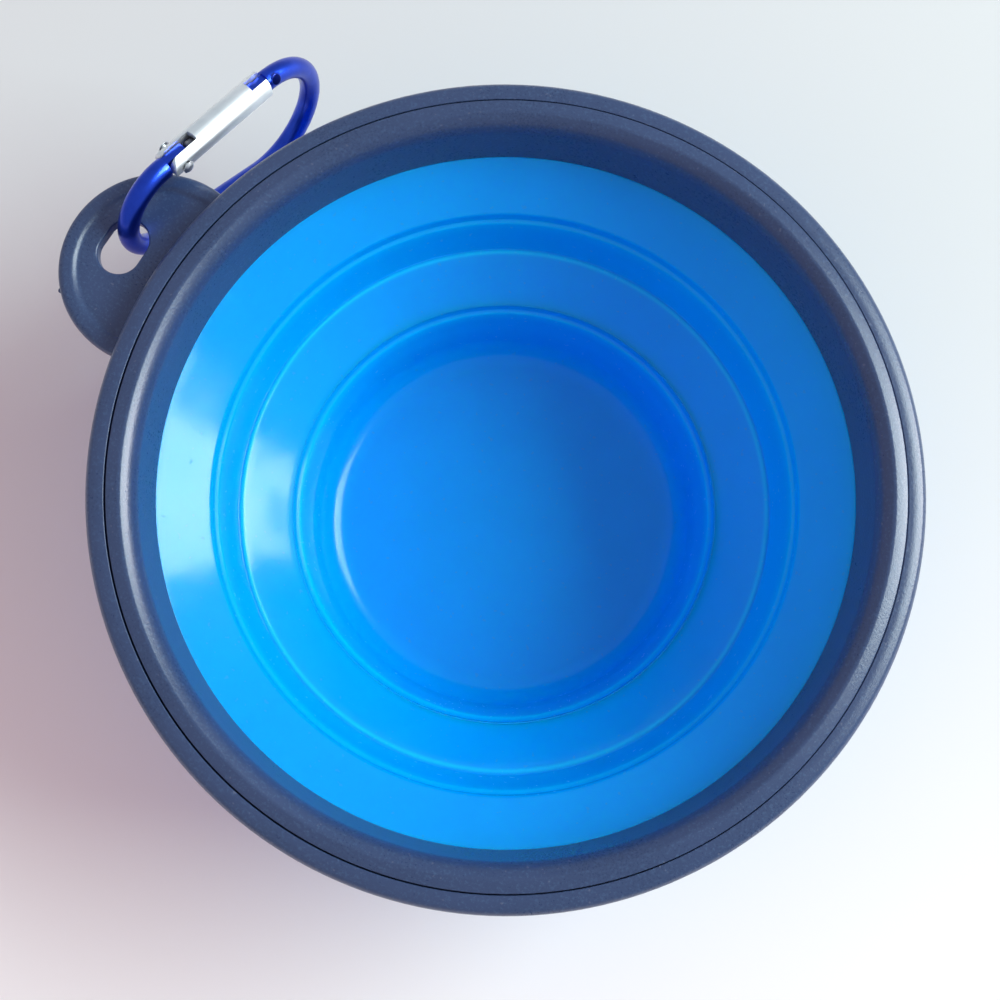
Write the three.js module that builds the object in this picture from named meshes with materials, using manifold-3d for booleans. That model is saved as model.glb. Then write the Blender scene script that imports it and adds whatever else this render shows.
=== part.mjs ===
// Collapsible travel bowl for pets: a soft folding bowl clamped in a two-part rim, with a carabiner on the rim's tab.
// Millimetres, +Z up. The origin is the centre of the flat underside, and the tab points along -X.
import * as THREE from 'three';
import { mergeVertices } from 'three/addons/utils/BufferGeometryUtils.js';
import Module from 'manifold-3d';

// Air between pieces that fit together, and the flats round a turned piece
const FIT_GAP = 0.3;
const ROUND_FLATS = 48;
const SMALL_FLATS = 20;

// Soft bowl, its inner face from the floor outwards and from the table upwards
const FLOOR_RADIUS = 30.2;
const FLOOR_THICKNESS = 2.4;
const BASE_RUN = 3.8;
const BASE_HEIGHT = 9;
const BASE_HEEL = 0.8;
const FOLD_RUN = 3.1;
const FOLD_HEIGHT = 10;
const MIDDLE_RUN = 8.4;
const MIDDLE_HEIGHT = 6.5;
const UPPER_RUN = 7.7;
const UPPER_HEIGHT = 5.8;
const WALL = 1.8;
const FOLD_WALL = 1;
const WALL_SHOULDER = 1.6;
const FLANGE_THICKNESS = 1.8;
const FLANGE_BEAD_WIDTH = 1.2;
const FLANGE_BEAD_HEIGHT = 1.6;

// Bezel ring, the upper half of the rim
const BEZEL_WIDTH = 5.2;
const BEZEL_WALL = 1.4;
const BEZEL_DEPTH = 8.6;
const BEZEL_DRAFT = 0.7;
const BEZEL_CREST = 0.6;
const BEZEL_SHOULDER = 2.6;
const BEZEL_EDGE = 0.4;

// Frame ring, the lower half of the rim
const FRAME_WALL = 3.2;
const FRAME_DROP = 0.5;
const FRAME_EDGE = 1.4;
const SHELF_REACH = 4.4;
const SHELF_THICKNESS = 1.6;
const SNAP_HEIGHT = 1;
const SNAP_DEPTH = 0.5;
const SNAP_RISE = 5;

// Tab on the frame ring, a round lobe with a thick edge and a slot
const TAB_RADIUS = 16;
const TAB_REACH = 1.6;
const TAB_THICKNESS = 2.6;
const TAB_RISE = 7.4;
const TAB_BEAD_WIDTH = 2.8;
const TAB_BEAD_HEIGHT = 3.6;
const SLOT_WIDTH = 7;
const SLOT_LENGTH = 9.4;
const SLOT_INSET = 9.4;

// Carabiner, a pear-shaped ring of round rod that hangs in the slot
const ROD = 3.5;
const SMALL_BEND = 8.5;
const LARGE_BEND = 11.3;
const BEND_SPAN = 24;
const HANG_DROP = 1.5;
const HANG_INSET = 0.5;
const HEADING = THREE.MathUtils.degToRad(82.4);
const DROOP = THREE.MathUtils.degToRad(15);
const LEAN = THREE.MathUtils.degToRad(-3.6);
const ROD_SIDES = 10;
const ROD_STEPS = 60;
const TONGUE = 1.4;
const TONGUE_HEIGHT = 3.2;
const TONGUE_TIP = 1.8;
const TONGUE_ROOT = 1;
const CATCH_LENGTH = 3;
const CATCH_ABOVE = 1.5;
const CATCH_BELOW = 0.9;

// Gate of the carabiner with its rivet, plunger and spring
const GATE = 4.7;
const GATE_NOSE_GAP = 0.5;
const PIVOT = 3.5;
const FORK_LENGTH = 3.8;
const RIVET = 1.2;
const RIVET_HEAD = 2.2;
const RIVET_DOME = 0.5;
const PLUNGER = 2.2;
const PLUNGER_LENGTH = 1.8;
const SPRING_WIRE = 0.36;
const SPRING_PITCH = 0.95;
const SPRING_TURNS = 9;
const CURL_STEPS = 8;
const CURL_SIDES = 5;

// Radii of the bowl and rim, outwards
const baseRadius = FLOOR_RADIUS + BASE_RUN;
const middleFoot = baseRadius + FOLD_RUN;
const middleTop = middleFoot + MIDDLE_RUN;
const upperFoot = middleTop + FOLD_RUN;
const mouth = upperFoot + UPPER_RUN;
const bezelOuter = mouth + BEZEL_WIDTH;
const skirtInner = bezelOuter - BEZEL_WALL;
const flangeOuter = skirtInner - FIT_GAP;
const frameInner = bezelOuter + FIT_GAP;
const rimRadius = frameInner + FRAME_WALL;
const tabCentre = rimRadius + TAB_REACH;
const slotCentre = tabCentre + TAB_RADIUS - SLOT_INSET;

// Levels of the bowl and rim, upwards
const middleFootZ = BASE_HEIGHT + FOLD_HEIGHT;
const middleTopZ = middleFootZ + MIDDLE_HEIGHT;
const upperFootZ = middleTopZ + FOLD_HEIGHT;
const flangeTopZ = upperFootZ + UPPER_HEIGHT;
const flangeFootZ = flangeTopZ - FLANGE_THICKNESS;
const shelfTopZ = flangeFootZ - FIT_GAP;
const rimFootZ = shelfTopZ - SHELF_THICKNESS;
const lipFootZ = flangeTopZ + FIT_GAP;
const shoulderFootZ = lipFootZ + BEZEL_DEPTH;
const crestZ = shoulderFootZ + BEZEL_SHOULDER;
const frameTopZ = crestZ - FRAME_DROP;
const snapZ = shelfTopZ + SNAP_RISE;
const tabZ = rimFootZ + TAB_RISE;

const wasm = await Module();
wasm.setup();

const plastic = new THREE.MeshStandardMaterial({ color: 0x3d4360, roughness: 0.45, metalness: 0 });
const rubber = new THREE.MeshStandardMaterial({ color: 0x0a93e6, roughness: 0.4, metalness: 0 });
const anodised = new THREE.MeshStandardMaterial({ color: 0x1c3fd6, roughness: 0.25, metalness: 0.9 });
const aluminium = new THREE.MeshStandardMaterial({ color: 0xc8cbd0, roughness: 0.3, metalness: 1 });
const steel = new THREE.MeshStandardMaterial({ color: 0x8f9296, roughness: 0.35, metalness: 1 });

const point = (r, z) => new THREE.Vector2(r, z);

// Points on a round corner of a section, with angles from +r towards +z
function arc(r, z, radius, from, to, steps) {
  return new THREE.EllipseCurve(r, z, radius, radius, from, to, to < from).getPoints(steps);
}

function named(name, geometry, material) {
  const mesh = new THREE.Mesh(geometry, material);
  mesh.name = name;
  return mesh;
}

// Turns a section, given counter-clockwise with r to the right and z up, about the Z axis
function turned(section, flats = ROUND_FLATS) {
  return new THREE.LatheGeometry(section, flats).rotateX(Math.PI / 2);
}

function turnedRing(section, flats = ROUND_FLATS) {
  return turned([...section, section[0].clone()], flats);
}

// Closed mesh to solid and back, for joining and cutting
function solid(geometry) {
  const bare = geometry.clone();
  bare.deleteAttribute('normal');
  bare.deleteAttribute('uv');
  const merged = mergeVertices(bare, 1e-4);
  return new wasm.Manifold(new wasm.Mesh({
    numProp: 3,
    vertProperties: merged.attributes.position.array,
    triVerts: new Uint32Array(merged.index.array),
  }));
}

function geometryOf(made) {
  const mesh = made.getMesh();
  const geometry = new THREE.BufferGeometry();
  geometry.setAttribute('position', new THREE.BufferAttribute(mesh.vertProperties, 3));
  geometry.setIndex(new THREE.BufferAttribute(mesh.triVerts, 1));
  geometry.computeVertexNormals();
  return geometry;
}

// Plate in the XZ plane, centred on Y, from an outline drawn in x and z
function uprightPlate(outline, thickness) {
  const plate = new THREE.ExtrudeGeometry(outline, { depth: thickness, bevelEnabled: false, curveSegments: 8 });
  return plate.rotateX(Math.PI / 2).translate(0, thickness / 2, 0);
}

function rectangle(left, bottom, right, top) {
  return new THREE.Shape([point(left, bottom), point(right, bottom), point(right, top), point(left, top)]);
}

// Round bar along X
function bar(diameter, from, to, z) {
  const round = new THREE.CylinderGeometry(diameter / 2, diameter / 2, to - from, SMALL_FLATS);
  return round.rotateZ(Math.PI / 2).translate((from + to) / 2, 0, z);
}

// Radial width of a wall of the given thickness that leans by run over rise
function leaningWidth(thickness, run, rise) {
  return thickness * Math.hypot(run, rise) / rise;
}

// Base cup: flat underside, floor, rounded heel and a short wall
function baseCup() {
  const width = leaningWidth(WALL, BASE_RUN, BASE_HEIGHT);
  const heel = baseRadius - BASE_HEEL;
  const outside = new THREE.QuadraticBezierCurve(
    point(FLOOR_RADIUS + width / 2, 0), point(heel + width, 0), point(baseRadius + width, BASE_HEIGHT));
  const inside = new THREE.QuadraticBezierCurve(
    point(baseRadius, BASE_HEIGHT), point(heel, FLOOR_THICKNESS), point(FLOOR_RADIUS, FLOOR_THICKNESS));
  return turned([point(0, 0), ...outside.getPoints(5), ...inside.getPoints(5), point(0, FLOOR_THICKNESS)]);
}

// Thin band that turns inside out when the bowl is pressed flat
function fold(foot, footZ) {
  const width = leaningWidth(FOLD_WALL, FOLD_RUN, FOLD_HEIGHT);
  const lift = FIT_GAP * FOLD_RUN / FOLD_HEIGHT;
  const low = footZ + FIT_GAP;
  const high = footZ + FOLD_HEIGHT - FIT_GAP;
  const top = foot + FOLD_RUN;
  return turnedRing([
    point(foot + lift, low), point(foot + lift + width, low),
    point(top - lift + width, high), point(top - lift, high),
  ]);
}

// Middle wall, with a chamfered shoulder so that it passes the upper wall's foot
function middleWall() {
  const width = leaningWidth(WALL, MIDDLE_RUN, MIDDLE_HEIGHT);
  const shoulder = leaningWidth(FOLD_WALL, FOLD_RUN, FOLD_HEIGHT);
  const shoulderZ = middleTopZ - WALL_SHOULDER;
  const shoulderR = middleTop - WALL_SHOULDER * MIDDLE_RUN / MIDDLE_HEIGHT + width;
  return turnedRing([
    point(middleFoot, middleFootZ), point(middleFoot + width, middleFootZ),
    point(shoulderR, shoulderZ), point(middleTop + shoulder, middleTopZ), point(middleTop, middleTopZ),
  ]);
}

// Upper wall with the flange and bead that the two rim rings trap
function upperWall() {
  const width = leaningWidth(WALL, UPPER_RUN, UPPER_HEIGHT);
  const rise = (flangeFootZ - upperFootZ) / UPPER_HEIGHT;
  const beadInner = flangeOuter - FLANGE_BEAD_WIDTH;
  const beadTopZ = flangeTopZ + FLANGE_BEAD_HEIGHT;
  return turnedRing([
    point(upperFoot, upperFootZ), point(upperFoot + width, upperFootZ),
    point(upperFoot + width + rise * UPPER_RUN, flangeFootZ), point(flangeOuter, flangeFootZ),
    point(flangeOuter, beadTopZ), point(beadInner, beadTopZ), point(beadInner, flangeTopZ),
    point(mouth, flangeTopZ),
  ]);
}

// Bezel ring: rounded shoulder, straight inner wall down to the flange, and a skirt with a snap ridge
function bezelRing() {
  const skirtFootZ = shelfTopZ + FIT_GAP;
  const hollowZ = shoulderFootZ - BEZEL_WALL;
  const innerEdge = mouth + BEZEL_DRAFT;
  const crestEnd = bezelOuter - BEZEL_EDGE - BEZEL_CREST;
  const shoulder = new THREE.QuadraticBezierCurve(
    point(crestEnd, crestZ), point((crestEnd + innerEdge) / 2, crestZ), point(innerEdge, shoulderFootZ));
  return turnedRing([
    point(mouth, lipFootZ), point(mouth + BEZEL_WALL, lipFootZ), point(innerEdge + BEZEL_WALL, hollowZ),
    point(skirtInner, hollowZ), point(skirtInner, skirtFootZ), point(bezelOuter, skirtFootZ),
    point(bezelOuter, snapZ - SNAP_HEIGHT / 2), point(bezelOuter + SNAP_DEPTH, snapZ),
    point(bezelOuter, snapZ + SNAP_HEIGHT / 2),
    point(bezelOuter, crestZ - BEZEL_EDGE), point(bezelOuter - BEZEL_EDGE, crestZ),
    ...shoulder.getPoints(5),
  ]);
}

// Round lobe of the tab, drawn whole and then cut back to the wall of the frame ring
function tab() {
  const slotRound = (SLOT_LENGTH - SLOT_WIDTH) / 2;
  const lobe = new THREE.Shape().absarc(-tabCentre, 0, TAB_RADIUS - TAB_BEAD_WIDTH / 2, 0, 2 * Math.PI);
  const opening = new THREE.Path().absarc(-slotCentre, slotRound, SLOT_WIDTH / 2, 0, Math.PI);
  opening.absarc(-slotCentre, -slotRound, SLOT_WIDTH / 2, Math.PI, 2 * Math.PI);
  lobe.holes.push(opening);
  const plate = new THREE.ExtrudeGeometry(lobe, { depth: TAB_THICKNESS, bevelEnabled: false, curveSegments: 20 });
  const beadOutline = new THREE.EllipseCurve(
    TAB_RADIUS - TAB_BEAD_WIDTH / 2, 0, TAB_BEAD_WIDTH / 2, TAB_BEAD_HEIGHT / 2).getPoints(10).slice(0, -1);
  const bead = turnedRing(beadOutline, 40).translate(-tabCentre, 0, tabZ);
  const core = turned([
    point(0, rimFootZ), point(rimRadius - FRAME_WALL / 2, rimFootZ), point(rimRadius - FRAME_WALL / 2, crestZ),
    point(0, crestZ)]);
  return solid(plate.translate(0, 0, tabZ - TAB_THICKNESS / 2)).add(solid(bead)).subtract(solid(core));
}

// Frame ring: outer wall, shelf under the flange, groove for the snap ridge, and the tab
function frameRing() {
  const groove = frameInner + SNAP_DEPTH;
  const grooveReach = SNAP_HEIGHT / 2 + FIT_GAP;
  const edge = rimRadius - FRAME_EDGE;
  const ring = turnedRing([
    point(frameInner - SHELF_REACH, rimFootZ),
    ...arc(edge, rimFootZ + FRAME_EDGE, FRAME_EDGE, -Math.PI / 2, 0, 3),
    ...arc(edge, frameTopZ - FRAME_EDGE, FRAME_EDGE, 0, Math.PI / 2, 3),
    point(frameInner, frameTopZ), point(frameInner, snapZ + grooveReach), point(groove, snapZ),
    point(frameInner, snapZ - grooveReach), point(frameInner, shelfTopZ),
    point(frameInner - SHELF_REACH, shelfTopZ),
  ]);
  return geometryOf(solid(ring).add(tab()));
}

// Centre line of the carabiner's rod, from the hinge round the small bend, the back and the large bend to the nose.
// The small bend's centre is the origin, and the gate lies at z = SMALL_BEND.
class RodLine extends THREE.Curve {
  constructor(start) {
    super();
    const tilt = 2 * Math.atan2(SMALL_BEND - LARGE_BEND, BEND_SPAN);
    const largeZ = SMALL_BEND - LARGE_BEND;
    const out = point(Math.sin(tilt), -Math.cos(tilt));
    const backStart = out.clone().multiplyScalar(SMALL_BEND);
    const backEnd = out.clone().multiplyScalar(LARGE_BEND).add(point(BEND_SPAN, largeZ));
    this.path = new THREE.CurvePath();
    this.path.add(new THREE.LineCurve(point(start, SMALL_BEND), point(0, SMALL_BEND)));
    this.path.add(new THREE.EllipseCurve(
      0, 0, SMALL_BEND, SMALL_BEND, Math.PI / 2, Math.PI * 1.5 + tilt));
    this.path.add(new THREE.LineCurve(backStart, backEnd));
    this.path.add(new THREE.EllipseCurve(
      BEND_SPAN, largeZ, LARGE_BEND, LARGE_BEND, tilt - Math.PI / 2, Math.PI / 2));
  }

  getPoint(t, target = new THREE.Vector3()) {
    const at = this.path.getPoint(t);
    return target.set(at.x, 0, at.y);
  }
}

// Places along the gate's axis, from the hinge to the nose
const rodStart = PIVOT - GATE / 2 - FIT_GAP;
const tongueTip = PIVOT + TONGUE_TIP;
const plungerFace = tongueTip + FIT_GAP;
const forkEnd = PIVOT + FORK_LENGTH;
const springStart = plungerFace + PLUNGER_LENGTH + FIT_GAP;
const springEnd = springStart + SPRING_PITCH * SPRING_TURNS + SPRING_WIRE;
const boreEnd = springEnd + FIT_GAP;
const gateEnd = BEND_SPAN - GATE_NOSE_GAP;
const catchStart = gateEnd - CATCH_LENGTH;
const slotWidth = TONGUE + 2 * FIT_GAP;
const bore = PLUNGER + 2 * FIT_GAP;
const rivetHole = RIVET + 2 * FIT_GAP;

function carabinerBody() {
  const section = new THREE.Shape().absarc(0, 0, ROD / 2, 0, 2 * Math.PI);
  const rod = new THREE.ExtrudeGeometry(section, {
    steps: ROD_STEPS, curveSegments: ROD_SIDES / 2, extrudePath: new RodLine(rodStart) });
  const hinge = rectangle(
    rodStart - TONGUE_ROOT, SMALL_BEND - TONGUE_HEIGHT / 2, tongueTip, SMALL_BEND + TONGUE_HEIGHT / 2);
  hinge.holes.push(new THREE.Path().absarc(PIVOT, SMALL_BEND, rivetHole / 2, 0, 2 * Math.PI));
  const nose = rectangle(
    catchStart, SMALL_BEND - CATCH_BELOW, BEND_SPAN + TONGUE_ROOT, SMALL_BEND + CATCH_ABOVE);
  return geometryOf(
    solid(rod).add(solid(uprightPlate(hinge, TONGUE))).add(solid(uprightPlate(nose, TONGUE))));
}

// Gate: round bar with a rounded forked tail, a bore for the spring, and a slot that takes the nose
function carabinerGate() {
  const radius = GATE / 2;
  const side = new THREE.Shape().absarc(PIVOT, SMALL_BEND, radius, Math.PI / 2, Math.PI * 1.5);
  side.lineTo(gateEnd, SMALL_BEND - radius);
  side.lineTo(gateEnd, SMALL_BEND + radius);
  const tail = PIVOT - radius;
  const fork = rectangle(tail - radius, SMALL_BEND - GATE, forkEnd, SMALL_BEND + GATE);
  const notch = rectangle(
    catchStart - FIT_GAP, SMALL_BEND - CATCH_BELOW - FIT_GAP, gateEnd + radius, SMALL_BEND + GATE);
  const pin = new THREE.CylinderGeometry(rivetHole / 2, rivetHole / 2, 2 * GATE, SMALL_FLATS);
  return geometryOf(solid(bar(GATE, tail - radius, gateEnd + radius, SMALL_BEND))
    .intersect(solid(uprightPlate(side, 2 * GATE)))
    .subtract(solid(uprightPlate(fork, slotWidth)))
    .subtract(solid(uprightPlate(notch, slotWidth)))
    .subtract(solid(bar(bore, PIVOT, boreEnd, SMALL_BEND)))
    .subtract(solid(pin.translate(PIVOT, 0, SMALL_BEND))));
}

// Rivet along Y with a domed head outside each cheek of the fork
function gateRivet() {
  const seat = GATE / 2 + FIT_GAP;
  const top = seat + RIVET_DOME;
  const dome = (sign) => [
    point(RIVET / 2, sign * seat), point(RIVET_HEAD / 2, sign * seat), point(RIVET / 2, sign * top)];
  const section = [point(0, -top), ...dome(-1).reverse(), ...dome(1), point(0, top)];
  return new THREE.LatheGeometry(section, SMALL_FLATS).translate(PIVOT, 0, SMALL_BEND);
}

// Plunger along X, domed where it meets the tongue
function gatePlunger() {
  const round = PLUNGER / 4;
  const section = [
    point(0, 0), point(PLUNGER / 2 - round, 0), point(PLUNGER / 2, round), point(PLUNGER / 2, PLUNGER_LENGTH),
    point(0, PLUNGER_LENGTH)];
  return new THREE.LatheGeometry(section, SMALL_FLATS)
    .rotateZ(-Math.PI / 2).translate(plungerFace, 0, SMALL_BEND);
}

class SpringLine extends THREE.Curve {
  getPoint(t, target = new THREE.Vector3()) {
    const turn = 2 * Math.PI * SPRING_TURNS * t;
    const radius = (PLUNGER - SPRING_WIRE) / 2;
    const along = springStart + SPRING_WIRE / 2 + SPRING_PITCH * SPRING_TURNS * t;
    return target.set(along, radius * Math.cos(turn), SMALL_BEND + radius * Math.sin(turn));
  }
}

// Least air between the spring's own turns, measured on points of its centre line
function leastSpringGap(line) {
  const points = line.getPoints(SPRING_TURNS * CURL_STEPS);
  const apart = CURL_STEPS - 2;
  let least = Infinity;
  for (let i = 0; i < points.length; i += 1) {
    for (let j = i + apart; j < points.length; j += 1) {
      least = Math.min(least, points[i].distanceTo(points[j]) - SPRING_WIRE);
    }
  }
  return least;
}

function gateSpring() {
  const line = new SpringLine();
  console.log(`gate_spring: least gap between turns ${leastSpringGap(line).toFixed(2)} mm`);
  const corners = Array.from({ length: CURL_SIDES }, (_, side) => {
    const angle = 2 * Math.PI * side / CURL_SIDES;
    return point(Math.cos(angle), Math.sin(angle)).multiplyScalar(SPRING_WIRE / 2);
  });
  return new THREE.ExtrudeGeometry(new THREE.Shape(corners), {
    steps: SPRING_TURNS * CURL_STEPS, extrudePath: line });
}

// The small bend is centred where the slot's end stays just inside the rod as the carabiner swings
function carabinerCentre() {
  const corner = HANG_DROP + TAB_THICKNESS / 2;
  const inside = SMALL_BEND - ROD / 2 - FIT_GAP;
  const forward = Math.sqrt(inside * inside - corner * corner);
  return new THREE.Vector3(HANG_INSET - slotCentre, SLOT_LENGTH / 2 + forward, tabZ - HANG_DROP);
}

const bowl = new THREE.Group();
bowl.add(
  named('rim_frame_ring', frameRing(), plastic),
  named('rim_bezel_ring', bezelRing(), plastic),
  named('bowl_upper_wall', upperWall(), rubber),
  named('bowl_upper_fold', fold(middleTop, middleTopZ), rubber),
  named('bowl_middle_wall', middleWall(), rubber),
  named('bowl_lower_fold', fold(baseRadius, BASE_HEIGHT), rubber),
  named('bowl_base_cup', baseCup(), rubber),
);

const carabiner = new THREE.Group();
carabiner.position.copy(carabinerCentre());
carabiner.rotation.set(LEAN, DROOP, HEADING, 'ZYX');
carabiner.add(
  named('carabiner_body', carabinerBody(), anodised),
  named('carabiner_gate', carabinerGate(), aluminium),
  named('gate_rivet', gateRivet(), steel),
  named('gate_plunger', gatePlunger(), steel),
  named('gate_spring', gateSpring(), steel),
);
bowl.add(carabiner);

export default bowl;
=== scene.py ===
import math

import bmesh
import bpy
from mathutils import Euler, Matrix, Vector


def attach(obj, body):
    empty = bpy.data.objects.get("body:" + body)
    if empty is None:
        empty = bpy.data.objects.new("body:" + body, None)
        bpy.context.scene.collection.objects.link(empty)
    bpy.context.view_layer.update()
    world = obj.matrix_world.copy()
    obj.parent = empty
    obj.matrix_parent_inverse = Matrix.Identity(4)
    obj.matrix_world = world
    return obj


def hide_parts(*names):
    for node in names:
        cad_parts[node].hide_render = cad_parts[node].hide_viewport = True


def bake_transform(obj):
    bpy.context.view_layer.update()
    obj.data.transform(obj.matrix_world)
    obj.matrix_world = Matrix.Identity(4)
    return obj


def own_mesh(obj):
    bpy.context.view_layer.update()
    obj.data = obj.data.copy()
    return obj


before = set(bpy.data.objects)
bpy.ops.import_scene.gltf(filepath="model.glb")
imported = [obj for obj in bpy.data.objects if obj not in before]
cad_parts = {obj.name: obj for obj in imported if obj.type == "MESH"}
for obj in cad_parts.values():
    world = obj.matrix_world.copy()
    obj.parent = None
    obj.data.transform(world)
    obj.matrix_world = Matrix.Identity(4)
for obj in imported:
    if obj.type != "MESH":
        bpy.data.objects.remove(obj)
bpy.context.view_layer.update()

# Soft bowl, moulded in one piece from blue food-grade rubber, with thick sloping walls and thin folds between
# them. It is turned here in two shells, and the joint between them lies in the groove under the middle wall.
# The upper shell carries the flange that the rim rings trap, and folds between the rim and the middle wall.
MM = 0.001
ring_steps = 192


def traced(outline, y):
    """New mesh, left in edit mode, with one face inside an outline of (x, z) points in millimetres."""
    bpy.ops.object.select_all(action="DESELECT")
    bpy.ops.mesh.primitive_plane_add(size=MM)
    bpy.ops.object.mode_set(mode="EDIT")
    bpy.ops.mesh.select_mode(type="VERT")
    bpy.ops.mesh.merge(type="CENTER")
    bpy.ops.transform.translate(value=(outline[0][0] * MM, y * MM, outline[0][1] * MM))
    for here, there in zip(outline, outline[1:]):
        step = ((there[0] - here[0]) * MM, 0, (there[1] - here[1]) * MM)
        bpy.ops.mesh.extrude_region_move(TRANSFORM_OT_translate={"value": step})
    bpy.ops.mesh.select_all(action="SELECT")
    bpy.ops.mesh.edge_face_add()
    return bpy.context.object


def turned(name, section, steps):
    """Spins a closed section of (radius, height, corner rounding) in millimetres about Z."""
    touching = 1e-6
    sliver = 1e-7
    wide_rounding = 1.5
    long_edge = 2 * MM
    piece = traced([(radius, height) for radius, height, rounding in section], 0)
    piece.name = name
    piece.data.name = name
    for rounding in sorted({corner[2] for corner in section if corner[2]}):
        corners = [Vector((r * MM, 0, z * MM)) for r, z, c in section if c == rounding]
        shape = bmesh.from_edit_mesh(piece.data)
        for vertex in shape.verts:
            vertex.select = any((vertex.co - corner).length < touching for corner in corners)
        shape.select_flush_mode()
        bmesh.update_edit_mesh(piece.data)
        segments = 14 if rounding > wide_rounding else 5
        bpy.ops.mesh.bevel(offset=rounding * MM, segments=segments, profile=0.5, affect="VERTICES")
    bpy.ops.mesh.select_all(action="SELECT")
    bpy.ops.mesh.delete(type="ONLY_FACE")
    bpy.ops.mesh.select_mode(type="EDGE")
    shape = bmesh.from_edit_mesh(piece.data)
    for edge in shape.edges:
        on_axis = all(abs(vertex.co.x) < sliver for vertex in edge.verts)
        edge.select = edge.calc_length() > long_edge and not on_axis
    bmesh.update_edit_mesh(piece.data)
    bpy.ops.mesh.subdivide(number_cuts=6)
    bpy.ops.mesh.select_all(action="SELECT")
    bpy.ops.mesh.spin(steps=steps, angle=2 * math.pi, center=(0, 0, 0), axis=(0, 0, 1))
    bpy.ops.mesh.select_all(action="SELECT")
    bpy.ops.mesh.remove_doubles(threshold=touching)
    bpy.ops.mesh.dissolve_degenerate(threshold=sliver)
    bpy.ops.mesh.select_all(action="SELECT")
    bpy.ops.mesh.normals_make_consistent(inside=False)
    bpy.ops.object.mode_set(mode="OBJECT")
    bpy.ops.object.shade_smooth_by_angle(angle=math.radians(40))
    return piece


class Value:
    """An output in a material's nodes. Arithmetic on it adds Math nodes."""

    def __init__(self, tree, socket):
        self.tree = tree
        self.socket = socket

    def node(self, kind, settings, inputs, output=0):
        """New node with its settings, and with a value or a link at each input that is named."""
        made = self.tree.nodes.new(kind)
        for key, setting in settings.items():
            setattr(made, key, setting)
        for key, value in inputs.items():
            self.feed(value, made.inputs[key])
        return Value(self.tree, made.outputs[output])

    def feed(self, value, socket):
        """Links a value to a socket, or sets a number or colour there."""
        if isinstance(value, Value):
            self.tree.links.new(value.socket, socket)
        else:
            socket.default_value = value

    def math(self, operation, one, two):
        return self.node("ShaderNodeMath", {"operation": operation}, {0: one, 1: two})

    def __add__(self, other):
        return self.math("ADD", self, other)

    def __radd__(self, other):
        return self.math("ADD", other, self)

    def __sub__(self, other):
        return self.math("SUBTRACT", self, other)

    def __rsub__(self, other):
        return self.math("SUBTRACT", other, self)

    def __mul__(self, other):
        return self.math("MULTIPLY", self, other)

    def __rmul__(self, other):
        return self.math("MULTIPLY", other, self)

    def __abs__(self):
        return self.node("ShaderNodeMath", {"operation": "ABSOLUTE"}, {0: self})

    def noise(self, size, detail, roughness=0.5):
        """Cloudy noise from 0 to 1 with features of about the given size in millimetres."""
        inputs = {"Vector": self, "Scale": 1 / MM / size, "Detail": detail, "Roughness": roughness}
        return self.node("ShaderNodeTexNoise", {}, inputs)

    def between(self, low, high):
        """0 below low, 1 above high, and smooth between them."""
        inputs = {"Value": self, "From Min": low, "From Max": high}
        return self.node("ShaderNodeMapRange", {"interpolation_type": "SMOOTHSTEP"}, inputs)

    def tint(self, low, high):
        """Colour from low to high as this value goes from 0 to 1."""
        return self.node("ShaderNodeMix", {"data_type": "RGBA"}, {0: self, 6: (*low, 1), 7: (*high, 1)}, 2)

    def towards(self, colour, share):
        """This colour with a share of another in it."""
        return self.node("ShaderNodeMix", {"data_type": "RGBA"}, {0: share, 6: self, 7: (*colour, 1)}, 2)

    def bump(self, height, strength):
        """Normal for relief of the given height in millimetres."""
        inputs = {"Height": self, "Distance": height * MM, "Strength": strength}
        return self.node("ShaderNodeBump", {}, inputs)


def finish(name, constants):
    """New material with its constants set, its shader and its Object coordinates."""
    material = bpy.data.materials.new(name)
    material.use_nodes = True
    tree = material.node_tree
    shader = tree.nodes["Principled BSDF"]
    for socket, value in constants.items():
        shader.inputs[socket].default_value = value
    return material, shader, Value(tree, tree.nodes.new("ShaderNodeTexCoord").outputs["Object"])


rubber, shader, place = finish("blue rubber", {
    "Specular IOR Level": 0.28, "Specular Tint": (0.75, 0.95, 1.0, 1), "Subsurface Weight": 0.5,
    "Subsurface Radius": (0.15, 0.6, 1.0), "Subsurface Scale": 3 * MM})
cloud = place.noise(9, 3)
grain = place.noise(0.35, 3, 0.6)
wave = place.noise(11, 1)
dust = place.noise(0.9, 1).between(0.71, 0.745)
colour = cloud.between(0.25, 0.75).tint((0.0, 0.345, 0.88), (0.0, 0.355, 0.91))
colour = colour.towards((0.005, 0.1, 0.16), dust * 0.14)

# Painted glow on the thin lips that face up, lighter where light would come through the thin rubber: each has
# its radius and half width in millimetres and its strength
flat = place.node("ShaderNodeVectorMath", {"operation": "MULTIPLY"}, {0: place, 1: (1, 1, 0)})
radius = place.node("ShaderNodeVectorMath", {"operation": "LENGTH"}, {0: flat}, 1) * (1 / MM)
normal = place.node("ShaderNodeNewGeometry", {}, {}, "Normal")
facing_up = place.node("ShaderNodeSeparateXYZ", {}, {0: normal}, 2).between(0.05, 0.25)
painted_glow = 0
for lip, width, strength in ((48.0, 0.8, 0.25), (45.2, 0.65, 0.65), (36.4, 0.65, 0.4)):
    painted_glow = painted_glow + (width - abs(radius - lip)).between(0, width) * strength
# Painted glow mixed into the colour on the up-facing lips
colour = colour.towards((0.0, 0.6, 1.0), painted_glow * facing_up)
place.feed(colour, shader.inputs["Base Color"])
place.feed(0.08 + cloud * 0.11 + grain * 0.06 + dust * 0.3, shader.inputs["Roughness"])
place.feed((grain * 0.003 + wave * 0.2).bump(1, 1), shader.inputs["Normal"])

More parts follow.
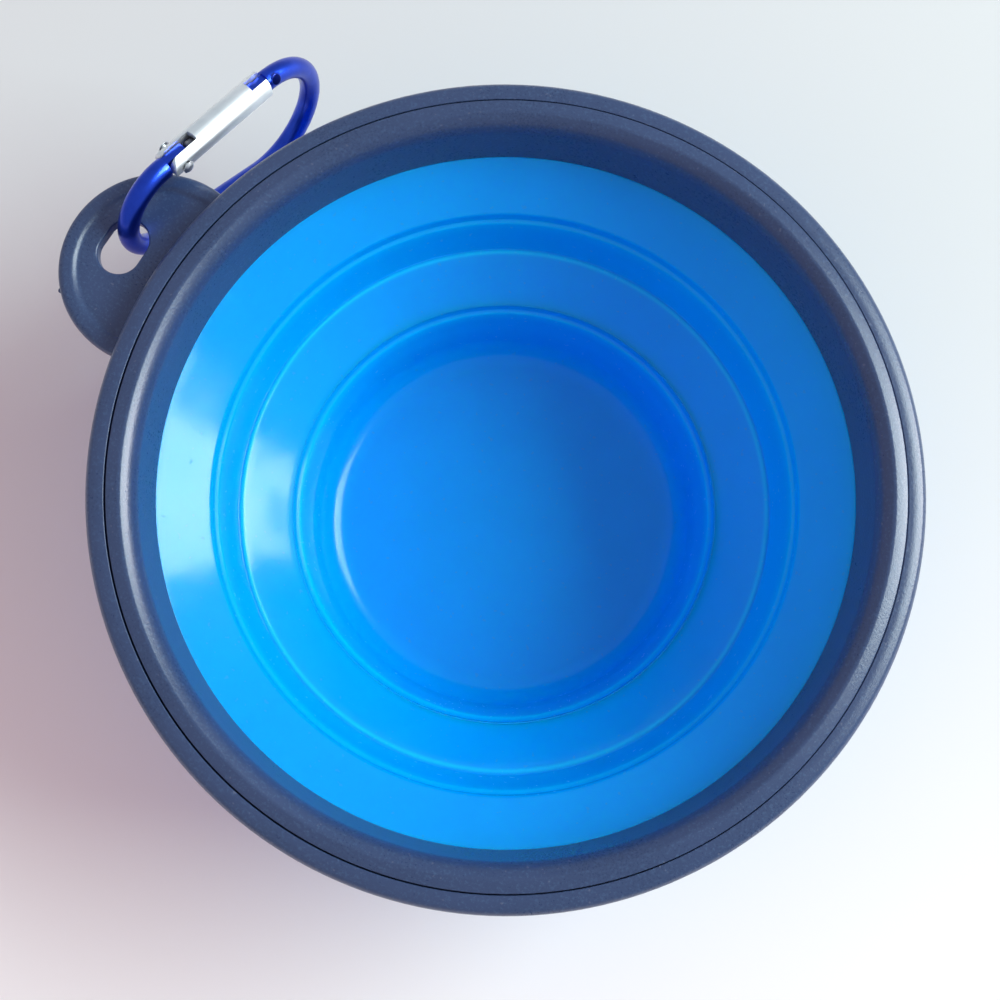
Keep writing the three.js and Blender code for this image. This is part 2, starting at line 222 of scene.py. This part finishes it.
# Outside from the foot of the middle wall up to the flange, then inside down to the middle wall's lip
upper_shell = turned("bowl_upper_shell", [
    (37.1, 19.0, 0.3), (39.9, 19.0, 0.6), (46.35, 23.9, 0.5), (46.45, 25.6, 0.2), (46.9, 26.4, 0.2),
    (49.55, 34.4, 0.35), (51.4, 35.5, 0.5), (56.9, 39.5, 0.4),
    (59.8, 39.5, 0.3), (59.8, 42.9, 0.3), (58.6, 42.9, 0.3), (58.6, 41.45, 0.2),
    (56.35, 41.45, 0.15), (48.6, 35.5, 0.35), (48.5, 33.6, 0.2), (47.8, 33.0, 0.25), (46.1, 26.6, 0.4),
    (45.85, 25.6, 0.2), (45.2, 25.75, 0.4),
], ring_steps)
upper_shell.data.materials.append(rubber)
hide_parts("bowl_upper_wall", "bowl_upper_fold", "bowl_middle_wall")
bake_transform(upper_shell)

# Lower shell of the same moulding: the lower fold and the cup with the flat floor that the bowl stands on.
# Its top edge runs up inside the foot of the middle wall.
lower_shell = turned("bowl_lower_shell", [
    (0, 0, 0), (35.2, 0, 3.4), (36.0, 9.0, 0.4), (35.85, 10.4, 0.4), (38.1, 17.8, 0.4), (38.7, 19.3, 0),
    (37.3, 19.3, 0), (37.15, 17.8, 0.2), (36.35, 17.2, 0.25), (34.95, 11.3, 0.8), (33.5, 2.4, 4.8),
    (0, 2.4, 0),
], ring_steps)
lower_shell.data.materials.append(rubber)
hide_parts("bowl_lower_fold", "bowl_base_cup")
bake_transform(lower_shell)

# Frame ring, the lower and outer half of the rim, moulded in navy-grey plastic with a fine spark texture.
# The round tab with its thick edge and slot is part of the same moulding. The shelf inside the ring carries
# the bowl's flange.
tab_centre = -66.6
tab_level = 45.0
tab_root = 63.4
slot_centre = -73.2
slot_stretch = 2.4


def pick(piece):
    """Makes a piece the active one and the only one selected."""
    bpy.ops.object.select_all(action="DESELECT")
    bpy.context.view_layer.objects.active = piece
    piece.select_set(True)


def combine(piece, tool, operation):
    """Joins a tool shape to a piece or cuts it away, and takes the tool out of the scene."""
    modifier = piece.modifiers.new("combine", "BOOLEAN")
    modifier.operation = operation
    modifier.object = tool
    modifier.solver = "EXACT"
    pick(piece)
    bpy.ops.object.modifier_apply(modifier="combine")
    bpy.data.objects.remove(tool)


def put(piece, location, rotation=(0, 0, 0)):
    """Moves and turns a piece, and puts its place into its mesh."""
    pick(piece)
    piece.location = location
    piece.rotation_euler = rotation
    bpy.ops.object.transform_apply(location=True, rotation=True, scale=True)


plastic, shader, place = finish("navy moulded plastic", {"Specular IOR Level": 0.48})
spark = place.noise(0.45, 3, 0.65)
cloud = place.noise(14, 3)
dust = place.noise(0.7, 1).between(0.72, 0.77)
colour = cloud.between(0.3, 0.7).tint((0.029, 0.055, 0.134), (0.034, 0.061, 0.148))
colour = colour.towards((0.055, 0.11, 0.22), spark.between(0.5, 0.7) * 0.6)
colour = colour.towards((0.33, 0.35, 0.42), dust * 0.15)
place.feed(colour, shader.inputs["Base Color"])
place.feed(0.21 + spark * 0.1 + cloud * 0.06 + dust * 0.05, shader.inputs["Roughness"])
place.feed(spark.bump(0.07, 0.5), shader.inputs["Normal"])

frame_ring = turned("rim_frame", [
    (57.4, 37.6, 0.3), (65.0, 37.6, 1.4), (65.0, 50.7, 0.5), (64.3, 51.65, 0.4),
    (62.9, 52.05, 0.5), (61.78, 52.1, 0.15), (61.8, 45.0, 0), (62.3, 44.2, 0),
    (61.8, 43.4, 0), (61.8, 39.2, 0.2), (57.4, 39.2, 0.3),
], ring_steps)
tab = turned("tab", [
    (0, -1.2, 0), (12.75, -1.2, 0.35), (13.6, -1.8, 0.35), (15.3, -1.8, 0.7), (16.0, -0.9, 0.5),
    (16.0, 0.9, 0.5), (15.3, 1.8, 0.7), (13.6, 1.8, 0.35), (12.75, 1.2, 0.35), (0, 1.2, 0),
], steps=128)
put(tab, (tab_centre * MM, 0, tab_level * MM))

# The tab ends inside the ring's wall
bpy.ops.mesh.primitive_cylinder_add(
    vertices=ring_steps, radius=tab_root * MM, depth=20 * MM, location=(0, 0, tab_level * MM))
combine(tab, bpy.context.object, "DIFFERENCE")

# Slot with rounded edges: a round tool, drawn out along Y
slot_tool = turned("slot_tool", [
    (0, -4, 0), (5, -4, 0), (5, -1.21, 0), (3.5, -1.21, 0.36),
    (3.5, 1.21, 0.36), (5, 1.21, 0), (5, 4, 0), (0, 4, 0),
], steps=64)
bpy.ops.object.mode_set(mode="EDIT")
shape = bmesh.from_edit_mesh(slot_tool.data)
for vertex in shape.verts:
    vertex.select = vertex.co.y > 1e-6
shape.select_flush_mode()
bmesh.update_edit_mesh(slot_tool.data)
bpy.ops.transform.translate(value=(0, slot_stretch * MM, 0))
bpy.ops.mesh.select_all(action="SELECT")
bpy.ops.transform.translate(value=(0, -slot_stretch / 2 * MM, 0))
bpy.ops.object.mode_set(mode="OBJECT")
put(slot_tool, (slot_centre * MM, 0, tab_level * MM))
combine(tab, slot_tool, "DIFFERENCE")
combine(frame_ring, tab, "UNION")

# Two nubs left by the moulding, one on the ring's side and one on the tab's edge
for nub, x, y, z in ((0.6, 44.67, 47.08, 45.5), (0.45, -77.9, -11.3, 45)):
    bpy.ops.mesh.primitive_ico_sphere_add(
        subdivisions=3, radius=nub * MM, location=(x * MM, y * MM, z * MM))
    combine(frame_ring, bpy.context.object, "UNION")
bpy.ops.object.shade_smooth_by_angle(angle=math.radians(35))
flats = frame_ring.modifiers.new("flats", "WEIGHTED_NORMAL")
flats.keep_sharp = True
bpy.ops.object.modifier_apply(modifier="flats")
frame_ring.data.materials.clear()
frame_ring.data.materials.append(plastic)
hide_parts("rim_frame_ring")
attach(frame_ring, "rim")

# Bezel ring, the upper and inner half of the rim, in the same navy plastic. It snaps into the frame ring and
# presses on the bowl's flange. The thin dark line round the rim is the gap between the two rings, and it is
# wider on the tab's side, because the ring sits a little off centre.
off_centre = (0.1 * MM, 0.064 * MM, 0)
bezel_ring = turned("rim_bezel", [
    (56.3, 41.6, 0.2), (57.7, 41.6, 0.2), (58.4, 48.8, 0.3), (60.1, 48.8, 0.3), (60.1, 39.5, 0.2),
    (61.5, 39.5, 0.3), (61.5, 43.7, 0), (62.0, 44.2, 0.15), (61.5, 44.7, 0), (61.6, 52.22, 0.2),
    (59.4, 52.8, 0.4), (58.05, 51.8, 0.6), (57.2, 50.4, 0.8), (57.0, 48.0, 0.5),
], ring_steps)
put(bezel_ring, off_centre)
bezel_ring.data.materials.append(plastic)
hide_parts("rim_bezel_ring")
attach(bezel_ring, "rim")

# Carabiner body, a pear-shaped ring bent from round aluminium rod and anodised cobalt blue. Each end is
# milled to a flat tongue: one carries the gate's rivet, and the gate closes over the other, at a cross pin.
# It is made lying along X, with the gate's axis at the height of the small bend, and then hung in the slot.
hang_place = (-72.7 * MM, 10.5106 * MM, 43.5 * MM)
hang_turn = (math.radians(-3.6), math.radians(15), math.radians(82.4))
small_bend = 8.5
large_bend = 11.3
span = 24.0
tilt = 2 * math.atan2(small_bend - large_bend, span)
rod_radius = 1.75
rod_end = 0.85
straight_steps = 12
tongue = 1.4
pivot = 3.5
rivet_hole = 0.9
pin_centre = 25.3
pin_reach = 1.95
pin_turn = math.radians(58)
pin_steps = 40
lengthwise = (0, math.pi / 2, 0)
crosswise = (math.pi / 2, 0, 0)


def upright_plate(outline, thickness):
    """Flat plate in the XZ plane, centred on Y, from an outline in millimetres."""
    plate = traced(outline, -thickness / 2)
    bpy.ops.mesh.extrude_region_move(TRANSFORM_OT_translate={"value": (0, thickness * MM, 0)})
    bpy.ops.mesh.select_all(action="SELECT")
    bpy.ops.mesh.normals_make_consistent(inside=False)
    bpy.ops.object.mode_set(mode="OBJECT")
    return plate


def drill(piece, x, radius, depth, turn, vertices):
    """Cuts a round hole with its middle at x on the gate's axis."""
    bpy.ops.mesh.primitive_cylinder_add(
        vertices=vertices, radius=radius * MM, depth=depth * MM,
        location=(x * MM, 0, small_bend * MM), rotation=turn)
    combine(piece, bpy.context.object, "DIFFERENCE")


def break_edges(piece, angle):
    """Takes the sharpness off edges that turn by more than an angle in degrees."""
    edges = piece.modifiers.new("edges", "BEVEL")
    edges.width = 0.12 * MM
    edges.segments = 2
    edges.limit_method = "ANGLE"
    edges.angle_limit = math.radians(angle)
    bpy.ops.object.modifier_apply(modifier="edges")
    bpy.ops.object.shade_smooth_by_angle(angle=math.radians(35))


bpy.ops.object.select_all(action="DESELECT")
bpy.ops.mesh.primitive_circle_add(
    vertices=40, radius=rod_radius * MM, fill_type="NGON",
    location=(rod_end * MM, 0, small_bend * MM), rotation=lengthwise)
carabiner = bpy.context.object
carabiner.name = "carabiner_rod"
carabiner.data.name = "carabiner_rod"
bpy.ops.object.transform_apply(location=True, rotation=True, scale=True)
bpy.ops.object.mode_set(mode="EDIT")
bpy.ops.mesh.select_all(action="SELECT")
bpy.ops.mesh.extrude_region_move(TRANSFORM_OT_translate={"value": (-rod_end * MM, 0, 0)})
bpy.ops.mesh.spin(steps=40, angle=math.pi + tilt, center=(0, 0, 0), axis=(0, 1, 0))
along = Vector((math.cos(tilt), 0, math.sin(tilt))) * span * MM
for step in range(straight_steps):
    bpy.ops.mesh.extrude_region_move(TRANSFORM_OT_translate={"value": along / straight_steps})
bpy.ops.mesh.spin(
    steps=44, angle=math.pi - tilt, center=(span * MM, 0, (small_bend - large_bend) * MM), axis=(0, 1, 0))
bpy.ops.mesh.select_all(action="SELECT")
bpy.ops.mesh.remove_doubles(threshold=1e-6)
bpy.ops.mesh.normals_make_consistent(inside=False)
bpy.ops.object.mode_set(mode="OBJECT")
hinge_tongue = upright_plate([
    (-0.2, 6.9), (4.6, 6.9), (5.1, 7.1), (5.3, 7.6), (5.3, 9.4), (5.1, 9.9), (4.6, 10.1), (-0.2, 10.1),
], tongue)
combine(carabiner, hinge_tongue, "UNION")
nose_tongue = upright_plate([
    (20.7, 7.6), (21.6, 7.6), (22.1, 7.9), (25, 7.9), (25, 9.7), (22.1, 9.7), (21.7, 10), (20.9, 10),
    (20.5, 9.6), (20.5, 7.8),
], tongue)
combine(carabiner, nose_tongue, "UNION")
drill(carabiner, pivot, rivet_hole, depth=4, turn=crosswise, vertices=32)
nose_pin = turned("nose_pin", [
    (0, -1.9, 0), (0.95, -1.9, 0.15), (0.95, pin_reach, 0.15), (0, pin_reach, 0),
], pin_steps)
put(nose_pin, (pin_centre * MM, 0, small_bend * MM), (pin_turn, 0, 0))
combine(carabiner, nose_pin, "UNION")
break_edges(carabiner, angle=50)
put(carabiner, hang_place, hang_turn)

anodised, shader, place = finish("blue anodised aluminium", {
    "Metallic": 1.0, "Coat Weight": 0.35, "Coat Roughness": 0.12, "Coat IOR": 1.5})
local = place.node("ShaderNodeMapping", {"vector_type": "TEXTURE"}, {
    "Vector": place, "Location": hang_place, "Rotation": hang_turn})
cloud = local.noise(3, 3)
scuff = local.noise(0.25, 3, 0.7)
colour = cloud.between(0.3, 0.7).tint((0.012, 0.05, 0.5), (0.018, 0.066, 0.6))

# Painted shade: the cross pin's end is painted as a darker disc, standing in for the shade in a round recess
pin_end = (
    pin_centre * MM,
    -pin_reach * math.sin(pin_turn) * MM,
    (small_bend + pin_reach * math.cos(pin_turn)) * MM)
away = place.node("ShaderNodeVectorMath", {"operation": "DISTANCE"}, {0: local, 1: pin_end}, 1) * (1 / MM)
# Painted shade darkens the disc round the pin's end
colour = colour.towards((0.002, 0.008, 0.12), (0.95 - away).between(0, 0.15))
place.feed(colour, shader.inputs["Base Color"])
place.feed(0.26 + scuff * 0.14, shader.inputs["Roughness"])
place.feed(scuff.bump(0.012, 0.4), shader.inputs["Normal"])
carabiner.data.materials.clear()
carabiner.data.materials.append(anodised)
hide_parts("carabiner_body")
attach(carabiner, "carabiner")

# Gate, a bare turned aluminium bar. Its tail is rounded, forked over the hinge tongue and drilled for the
# spring, and the slot at its other end takes the nose tongue.
gate_radius = 2.35
gate_end = 23.5
gate_slot = 2
blank_middle = 12.5
blank_length = 26
bore_middle = 10.205
bore_radius = 1.4
bore_length = 13.41


def round_outline(x, z, radius, start, end, steps):
    """Points of an arc in the XZ plane, with angles in degrees from +X towards +Z."""
    angles = [math.radians(start + (end - start) * step / steps) for step in range(steps + 1)]
    return [(x + radius * math.cos(angle), z + radius * math.sin(angle)) for angle in angles]


bpy.ops.object.select_all(action="DESELECT")
bpy.ops.mesh.primitive_cylinder_add(
    vertices=64, radius=gate_radius * MM, depth=blank_length * MM,
    location=(blank_middle * MM, 0, small_bend * MM), rotation=lengthwise)
gate = bpy.context.object
gate.name = "gate_bar"
gate.data.name = "gate_bar"
bpy.ops.object.transform_apply(location=True, rotation=True, scale=True)
tail = round_outline(pivot, small_bend, gate_radius, 90, 270, 24)
square_end = [(gate_end, small_bend - gate_radius), (gate_end, small_bend + gate_radius)]
gate_side = upright_plate(tail + square_end, thickness=8)
combine(gate, gate_side, "INTERSECT")
fork_slot = upright_plate([(0, 4), (7.3, 4), (7.3, 13), (0, 13)], gate_slot)
combine(gate, fork_slot, "DIFFERENCE")
nose_slot = upright_plate([(20.2, 7.3), (25, 7.3), (25, 13), (20.2, 13)], gate_slot)
combine(gate, nose_slot, "DIFFERENCE")
drill(gate, bore_middle, bore_radius, depth=bore_length, turn=lengthwise, vertices=40)
drill(gate, pivot, rivet_hole, depth=8, turn=crosswise, vertices=32)
break_edges(gate, angle=40)
put(gate, hang_place, hang_turn)

bare, shader, place = finish("bare turned aluminium", {"Metallic": 1.0})
brushed = place.node("ShaderNodeMapping", {"vector_type": "TEXTURE"}, {
    "Vector": place, "Location": hang_place, "Rotation": hang_turn, "Scale": (14, 1, 1)})
lines = brushed.noise(0.3, 3, 0.65)
cloud = place.noise(2.5, 2)
colour = cloud.between(0.3, 0.7).tint((0.87, 0.89, 0.90), (0.94, 0.95, 0.96))
place.feed(colour, shader.inputs["Base Color"])
place.feed(0.4 + lines * 0.16, shader.inputs["Roughness"])
place.feed(lines.bump(0.01, 0.4), shader.inputs["Normal"])
gate.data.materials.clear()
gate.data.materials.append(bare)
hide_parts("carabiner_gate")
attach(gate, "gate")

# Gate rivet of plated steel. It goes through the fork and the hinge tongue, and each end is peened into a
# dome outside the gate.
rivet = turned("rivet", [
    (0, -3.15, 0), (0.55, -3.15, 0.2), (1.1, -2.75, 0.15), (1.1, -2.65, 0.05), (0.6, -2.65, 0),
    (0.6, 2.65, 0), (1.1, 2.65, 0.05), (1.1, 2.75, 0.15), (0.55, 3.15, 0.2), (0, 3.15, 0),
], pin_steps)
put(rivet, (pivot * MM, 0, small_bend * MM), crosswise)
put(rivet, hang_place, hang_turn)

plated, shader, place = finish("plated steel", {"Metallic": 1.0})
cloud = place.noise(1.2, 3)
scuff = place.noise(0.15, 2)
colour = cloud.between(0.3, 0.7).tint((0.7, 0.71, 0.73), (0.82, 0.83, 0.85))
place.feed(colour, shader.inputs["Base Color"])
place.feed(0.26 + scuff * 0.18, shader.inputs["Roughness"])
rivet.data.materials.append(plated)
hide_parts("gate_rivet")
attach(rivet, "gate")

# Gate plunger, a short turned steel pin with a domed end. It slides in the gate's bore, and the spring
# presses it against the hinge tongue.
plunger_start = 5.6
plunger = turned("plunger", [
    (0, 0, 0), (0.75, 0, 0.3), (1.1, 0.45, 0.2), (1.1, 1.8, 0.1), (0, 1.8, 0),
], pin_steps)
put(plunger, (plunger_start * MM, 0, small_bend * MM), lengthwise)
put(plunger, hang_place, hang_turn)

dull, shader, place = finish("dull spring steel", {"Metallic": 1.0})
cloud = place.noise(0.8, 3)
scuff = place.noise(0.12, 2)
colour = cloud.between(0.3, 0.7).tint((0.13, 0.125, 0.15), (0.19, 0.18, 0.21))
place.feed(colour, shader.inputs["Base Color"])
place.feed(0.4 + scuff * 0.2, shader.inputs["Roughness"])
plunger.data.materials.append(dull)
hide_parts("gate_plunger")
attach(plunger, "plunger")

# Gate spring, a coil of steel wire in the gate's bore, between the plunger and the end of the bore.
wire_radius = 0.18
coil_radius = 0.92
coil_start = 7.88
pitch = 0.95
turns = 9
turn_steps = 28
bpy.ops.object.select_all(action="DESELECT")
bpy.ops.mesh.primitive_circle_add(
    vertices=12, radius=wire_radius * MM, location=(coil_radius * MM, 0, 0), rotation=crosswise)
spring = bpy.context.object
spring.name = "spring_coil"
spring.data.name = "spring_coil"
bpy.ops.object.transform_apply(location=True, rotation=True, scale=True)
coil = spring.modifiers.new("coil", "SCREW")
coil.axis = "Z"
coil.screw_offset = pitch * MM
coil.iterations = turns
coil.steps = turn_steps
coil.render_steps = turn_steps
bpy.ops.object.modifier_apply(modifier="coil")
bpy.ops.object.mode_set(mode="EDIT")
bpy.ops.mesh.select_all(action="SELECT")
bpy.ops.mesh.remove_doubles(threshold=1e-7)
bpy.ops.mesh.select_all(action="DESELECT")
bpy.ops.mesh.select_mode(type="EDGE")
bpy.ops.mesh.select_non_manifold()
bpy.ops.mesh.fill_holes(sides=0)
bpy.ops.mesh.select_all(action="SELECT")
bpy.ops.mesh.normals_make_consistent(inside=False)
bpy.ops.object.mode_set(mode="OBJECT")
bpy.ops.object.shade_smooth_by_angle(angle=math.radians(50))
put(spring, (coil_start * MM, 0, small_bend * MM), lengthwise)
put(spring, hang_place, hang_turn)
spring.data.materials.append(dull)
hung = Matrix.LocRotScale(hang_place, Euler(hang_turn), None)
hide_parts("gate_spring")
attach(spring, "gate")
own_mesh(spring)

# Table top of pale matt laminate under the bowl, which takes its soft shadow. Its colour is painted a little
# darker towards the far side, as painted shade for the weaker light there.
shade_side = (-0.48, 0.877, 0)
bpy.ops.object.select_all(action="DESELECT")
bpy.ops.mesh.primitive_plane_add(size=6)
table = bpy.context.object
table.name = "table_top"
laminate, shader, place = finish("pale laminate", {"IOR": 1.45})
cloud = place.noise(60, 3)
# Painted shade: the colour darkens towards the far side
painted_shade = place.node("ShaderNodeVectorMath", {"operation": "DOT_PRODUCT"}, {0: place, 1: shade_side}, 1)
painted_shade = painted_shade + cloud * 0.01
colour = painted_shade.between(-0.1, 0.09).tint((0.885, 0.875, 0.88), (0.65, 0.69, 0.70))
place.feed(colour, shader.inputs["Base Color"])
place.feed(0.55 + cloud * 0.1, shader.inputs["Roughness"])
table.data.materials.append(laminate)

# Light: a wide window on the right of the picture, with two bright panes that only show in reflections, a
# weak fill from the left for the walls that face away from the window, and a soft even room light.
lamp_distance = 1.4


def lamp(name, width, depth, watts, colour, bearing, height):
    """Panel square on to the bowl, with its bearing and height in degrees."""
    light = bpy.data.lights.new(name, "AREA")
    light.shape = "RECTANGLE"
    light.size = width
    light.size_y = depth
    light.energy = watts
    light.color = colour
    panel = bpy.data.objects.new(name, light)
    bpy.context.collection.objects.link(panel)
    turn = Matrix.Rotation(math.radians(bearing), 3, "Z") @ Matrix.Rotation(math.radians(-height), 3, "Y")
    panel.location = turn @ Vector((lamp_distance, 0, 0))
    panel.rotation_euler = (-panel.location).to_track_quat("-Z", "Y").to_euler()
    return panel


lamp("window", 1.05, 0.63, 23.3, (0.80, 1.0, 0.97), 43, 38).visible_glossy = False
lamp("pane", 0.58, 0.42, 15.3, (1.0, 1.0, 1.0), 41, 28).visible_diffuse = False
lamp("upper_pane", 0.9, 0.42, 13.8, (0.85, 1.0, 0.97), 42, 45).visible_diffuse = False
lamp("fill", 0.9, 0.4, 2.8, (1.0, 0.88, 0.93), 212, 18).visible_glossy = False

world = bpy.data.worlds.new("room")
bpy.context.scene.world = world
world.use_nodes = True
tree = world.node_tree
rays = tree.nodes.new("ShaderNodeLightPath")
seen = Value(tree, rays.outputs["Is Camera Ray"])
mirrored = Value(tree, rays.outputs["Is Glossy Ray"])
room = mirrored.tint((0.60, 0.45, 0.485), (0.44, 0.50, 0.56))
room = room.towards((0.93, 0.95, 0.96), seen)
room.feed(room, tree.nodes["Background"].inputs["Color"])

# Camera over the bowl, leaning a little from the picture's lower edge, with the tab at the upper left. Places
# are in metres.
eye = Vector((0.01502, -0.02946, 0.2598))
target = Vector((0.00074, -0.0032, 0.0528))
picture_up = Vector((-0.5344, 0.8453, 0))
lens = bpy.data.cameras.new("camera")
lens.sensor_width = 36
lens.lens = 49.33
lens.clip_start = 0.01
camera = bpy.data.objects.new("camera", lens)
bpy.context.collection.objects.link(camera)
bpy.context.scene.camera = camera
ahead = (target - eye).normalized()
right = ahead.cross(picture_up).normalized()
above = right.cross(ahead)
camera.matrix_world = Matrix.Translation(eye) @ Matrix((right, above, -ahead)).transposed().to_4x4()
bpy.context.scene.view_settings.view_transform = "Standard"
